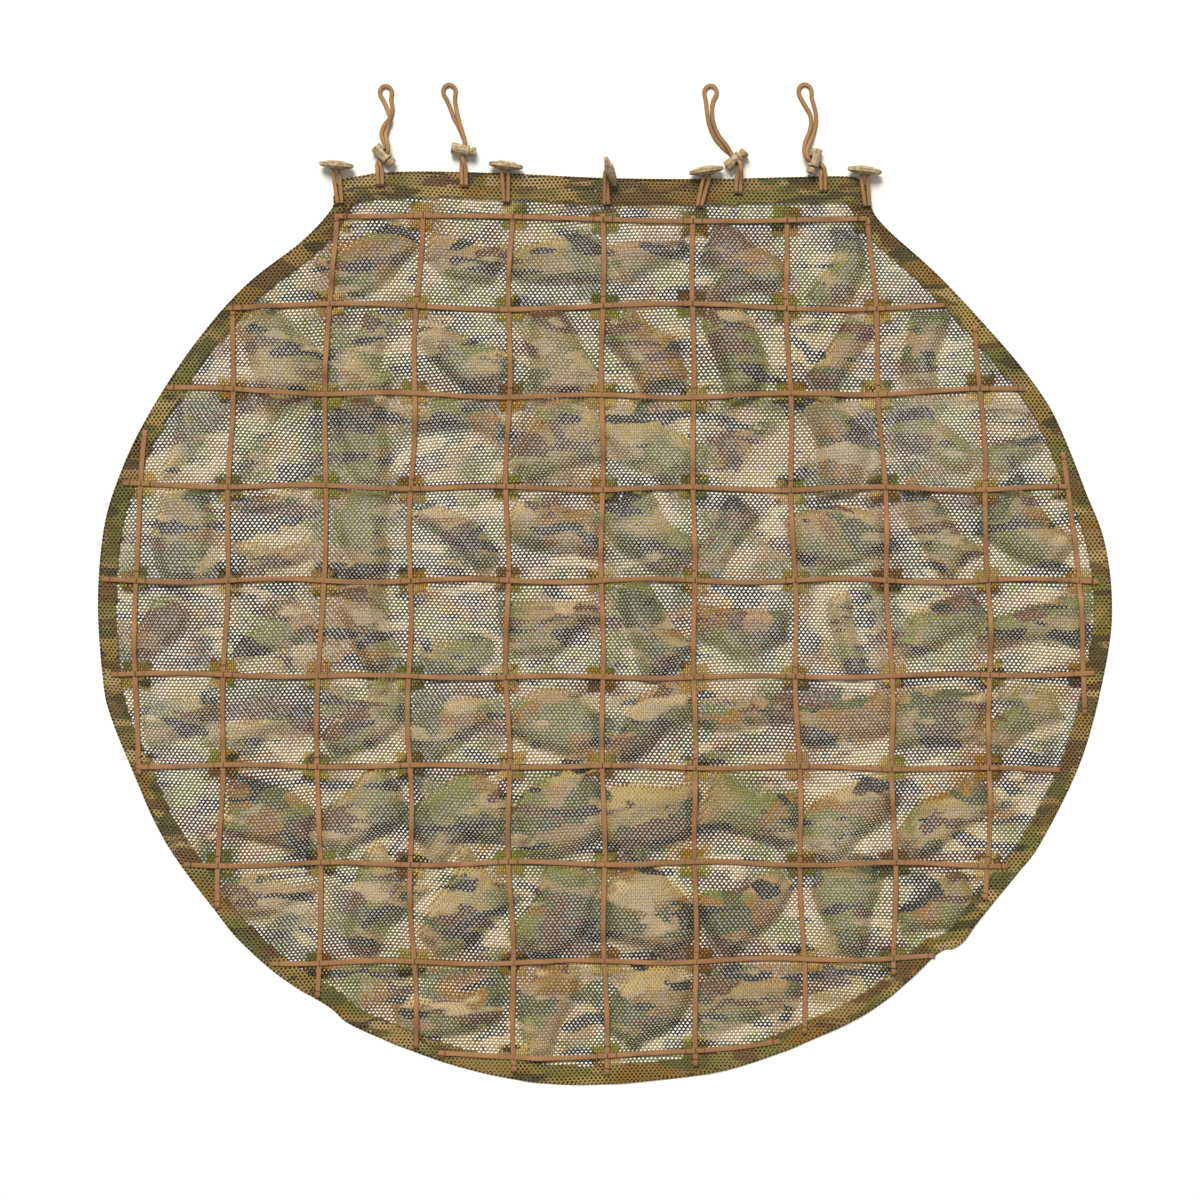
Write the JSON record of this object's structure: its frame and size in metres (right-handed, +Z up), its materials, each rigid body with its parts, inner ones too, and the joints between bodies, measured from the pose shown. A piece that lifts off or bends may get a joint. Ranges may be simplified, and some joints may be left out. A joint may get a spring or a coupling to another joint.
{
  "type": "mesh drape",
  "caption": "Nearly round drape of camouflage knitted mesh with a grid of sewn tapes, toggles on cord loops and draw cords with spring cord locks along its straight top hem.",
  "frame": {"origin": "on the underside of the mesh, under the crossing of the middle tapes", "axes": "+Z up, out of the face of the drape; +Y towards the straight top hem; +X to the right of the drape as seen from above"},
  "size_m": [1.0138, 1.0014, 0.0287],
  "materials": {
    "mesh": null,
    "tape": "woven tan tape",
    "cord": "flat braided tan cord",
    "plastic": "matte khaki plastic"
  },
  "bodies": {
    "drape": {"mesh_sheet": "mesh", "tape_upright_1": "tape", "tape_upright_2": "tape", "tape_upright_3": "tape", "tape_upright_4": "tape", "tape_upright_5": "tape", "tape_upright_6": "tape", "tape_upright_7": "tape", "tape_upright_8": "tape", "tape_upright_9": "tape", "tape_upright_10": "tape", "tape_upright_11": "tape", "tape_crossways_1": "tape", "tape_crossways_2": "tape", "tape_crossways_3": "tape", "tape_crossways_4": "tape", "tape_crossways_5": "tape", "tape_crossways_6": "tape", "tape_crossways_7": "tape", "tape_crossways_8": "tape", "tape_crossways_9": "tape", "tape_crossways_10": "tape", "toggle_loop_1": "cord", "toggle_1": "plastic", "toggle_loop_2": "cord", "toggle_2": "plastic", "toggle_loop_3": "cord", "toggle_3": "plastic", "toggle_loop_4": "cord", "toggle_4": "plastic", "toggle_loop_5": "cord", "toggle_5": "plastic", "draw_cord_a": "cord", "lock_barrel_a": "plastic", "draw_cord_b": "cord", "lock_barrel_b": "plastic", "draw_cord_c": "cord", "lock_barrel_c": "plastic", "draw_cord_d": "cord", "lock_barrel_d": "plastic"},
    "plunger_a": {"lock_plunger_a": "plastic"},
    "plunger_b": {"lock_plunger_b": "plastic"},
    "plunger_c": {"lock_plunger_c": "plastic"},
    "plunger_d": {"lock_plunger_d": "plastic"}
  },
  "joints": [
    {"name": "plunger_slide_a", "type": "slide", "parent": "drape", "child": "plunger_a", "axis": [-0.7071, 0.7071, 0], "range_m": [0, 0.002], "stiffness_N_per_m": 400, "springref_m": -0.002},
    {"name": "plunger_slide_b", "type": "slide", "parent": "drape", "child": "plunger_b", "axis": [-0.9816, 0.1908, 0], "range_m": [0, 0.002], "stiffness_N_per_m": 400, "springref_m": -0.002},
    {"name": "plunger_slide_c", "type": "slide", "parent": "drape", "child": "plunger_c", "axis": [-0.7771, -0.6293, 0], "range_m": [0, 0.002], "stiffness_N_per_m": 400, "springref_m": -0.002},
    {"name": "plunger_slide_d", "type": "slide", "parent": "drape", "child": "plunger_d", "axis": [0.2588, 0.9659, 0], "range_m": [0, 0.002], "stiffness_N_per_m": 400, "springref_m": -0.002}
  ]
}
